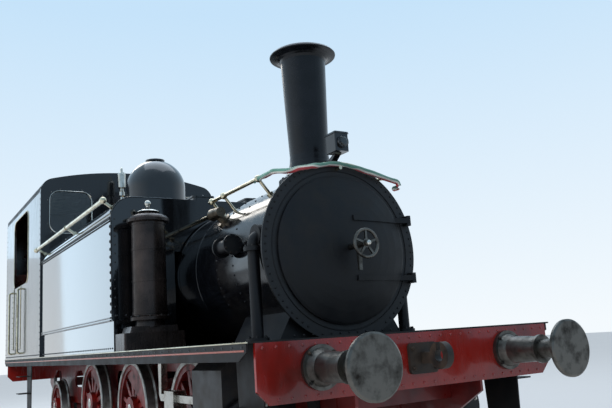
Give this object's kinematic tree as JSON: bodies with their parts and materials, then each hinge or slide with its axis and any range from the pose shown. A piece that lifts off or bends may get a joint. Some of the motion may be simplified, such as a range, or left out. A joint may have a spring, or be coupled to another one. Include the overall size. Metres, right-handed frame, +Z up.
{
  "type": "side-tank steam locomotive",
  "caption": "Side-tank steam locomotive with outside cylinders, coupled wheels, tall capped chimney, round dome and a closed cab; runs on rails.",
  "frame": {"origin": "mid-length between the buffer faces, on the centre line, level with the bottom of the wheel flanges", "axes": "+X forward to the chimney end, +Y to the engine's left, +Z up"},
  "size_m": [11.29, 2.952, 4.11],
  "materials": {
    "gloss_black": "gloss black coach paint",
    "heat_black": "satin heat-proof black",
    "roof_black": "satin black roof paint",
    "frame_black": "satin black",
    "frame_red": "oil-darkened red paint",
    "wheel_red": "red enamel with bright tyres",
    "beam_red": "gloss red",
    "cylinder_black": "painted casting and cladding",
    "cast_iron": "painted casting",
    "buffer_steel": "greased steel and black castings",
    "forged_steel": "forged black steel",
    "bright_steel": "bright machined steel",
    "whistle_brass": "turned brass",
    "valve_brass": "brass with dark patina",
    "floor_wood": "worn boards",
    "window_glass": "clear glass"
  },
  "bodies": {
    "engine": {"air_pump": "gloss_black", "axleboxes": "cast_iron", "backhead": "heat_black", "blower_valve": "valve_brass", "boiler": "gloss_black", "boiler_handrail": "bright_steel", "buffer_beams": "beam_red", "buffers": "buffer_steel", "bunker": "gloss_black", "cab_back": "gloss_black", "cab_floor": "floor_wood", "cab_front": "gloss_black", "cab_handrails": "bright_steel", "cab_roof": "roof_black", "cab_side_left": "gloss_black", "cab_side_right": "gloss_black", "chimney": "heat_black", "cylinders": "cylinder_black", "dome": "gloss_black", "draw_hooks": "forged_steel", "footsteps": "frame_black", "frame_cross_plates": "frame_red", "frame_left": "frame_red", "frame_right": "frame_red", "guard_irons": "frame_black", "running_board": "gloss_black", "safety_valves": "whistle_brass", "slide_bars": "bright_steel", "smokebox": "heat_black", "smokebox_saddle": "heat_black", "springs": "frame_black", "steam_pipes": "heat_black", "tank_bridge": "gloss_black", "tank_handrails": "bright_steel", "tank_left": "gloss_black", "tank_right": "gloss_black", "top_lamp": "gloss_black", "valances": "gloss_black", "whistle": "whistle_brass", "window_glass": "window_glass"},
    "driving_wheelset": {"driving_wheelset": "wheel_red"},
    "front_wheelset": {"front_wheelset": "wheel_red"},
    "rear_wheelset": {"rear_wheelset": "wheel_red"},
    "trailing_wheelset": {"trailing_wheelset": "wheel_red"},
    "coupling_rod_left": {"coupling_rod_left": "bright_steel"},
    "coupling_rod_right": {"coupling_rod_right": "bright_steel"},
    "crosshead_left": {"crosshead_left": "bright_steel"},
    "crosshead_right": {"crosshead_right": "bright_steel"},
    "connecting_rod_left": {"connecting_rod_left": "bright_steel"},
    "connecting_rod_right": {"connecting_rod_right": "bright_steel"},
    "smokebox_door": {"smokebox_door": "heat_black", "door_handwheel": "bright_steel"},
    "filler_lid_left": {"filler_lid_left": "gloss_black"},
    "filler_lid_right": {"filler_lid_right": "gloss_black"},
    "cab_door_left": {"cab_door_left": "gloss_black"},
    "cab_door_right": {"cab_door_right": "gloss_black"}
  },
  "joints": [
    {"name": "driving_axle_spin", "type": "hinge", "parent": "engine", "child": "driving_wheelset", "pos_m": [0.7, 0, 0.603], "axis": [0, 1, 0], "continuous": true},
    {"name": "front_axle_spin", "type": "hinge", "parent": "engine", "child": "front_wheelset", "pos_m": [2.55, 0, 0.603], "axis": [0, 1, 0], "continuous": true},
    {"name": "rear_axle_spin", "type": "hinge", "parent": "engine", "child": "rear_wheelset", "pos_m": [-1.15, 0, 0.603], "axis": [0, 1, 0], "continuous": true},
    {"name": "trailing_axle_spin", "type": "hinge", "parent": "engine", "child": "trailing_wheelset", "pos_m": [-3.45, 0, 0.453], "axis": [0, 1, 0], "continuous": true},
    {"name": "coupling_rod_left_turn", "type": "hinge", "parent": "driving_wheelset", "child": "coupling_rod_left", "pos_m": [0.94249, 0.88, 0.463], "axis": [0, 1, 0], "continuous": true},
    {"name": "crosshead_left_slide", "type": "slide", "parent": "engine", "child": "crosshead_left", "axis": [1, 0, 0], "range_m": [-0.5178, 0.0422]},
    {"name": "connecting_rod_left_swing", "type": "hinge", "parent": "crosshead_left", "child": "connecting_rod_left", "pos_m": [3.03782, 0.995, 0.603], "axis": [0, 1, 0], "range_deg": [-3.84, 11.48]},
    {"name": "coupling_rod_right_turn", "type": "hinge", "parent": "driving_wheelset", "child": "coupling_rod_right", "pos_m": [0.56, -0.88, 0.36051], "axis": [0, 1, 0], "continuous": true},
    {"name": "crosshead_right_slide", "type": "slide", "parent": "engine", "child": "crosshead_right", "axis": [1, 0, 0], "range_m": [-0.126, 0.434]},
    {"name": "connecting_rod_right_swing", "type": "hinge", "parent": "crosshead_right", "child": "connecting_rod_right", "pos_m": [2.64595, -0.995, 0.603], "axis": [0, 1, 0], "range_deg": [-1.03, 14.29]},
    {"name": "smokebox_door_hinge", "type": "hinge", "parent": "engine", "child": "smokebox_door", "pos_m": [4.175, 0.715, 2.015], "axis": [0, 0, 1], "range_deg": [0, 115]},
    {"name": "filler_lid_left_hinge", "type": "hinge", "parent": "engine", "child": "filler_lid_left", "pos_m": [1.573, 0.325, 2.929], "axis": [0, -1, 0], "range_deg": [0, 110]},
    {"name": "filler_lid_right_hinge", "type": "hinge", "parent": "engine", "child": "filler_lid_right", "pos_m": [1.573, -0.325, 2.929], "axis": [0, -1, 0], "range_deg": [0, 110]},
    {"name": "cab_door_left_hinge", "type": "hinge", "parent": "engine", "child": "cab_door_left", "pos_m": [-4.069, 1.35, 1.95], "axis": [0, 0, -1], "range_deg": [0, 90]},
    {"name": "cab_door_right_hinge", "type": "hinge", "parent": "engine", "child": "cab_door_right", "pos_m": [-4.069, -1.35, 1.95], "axis": [0, 0, 1], "range_deg": [0, 90]}
  ],
  "couplings": [
    {"joint": "front_axle_spin", "follows": "driving_axle_spin", "ratio": 1},
    {"joint": "rear_axle_spin", "follows": "driving_axle_spin", "ratio": 1},
    {"joint": "coupling_rod_left_turn", "follows": "driving_axle_spin", "ratio": -1},
    {"joint": "coupling_rod_right_turn", "follows": "driving_axle_spin", "ratio": -1}
  ]
}
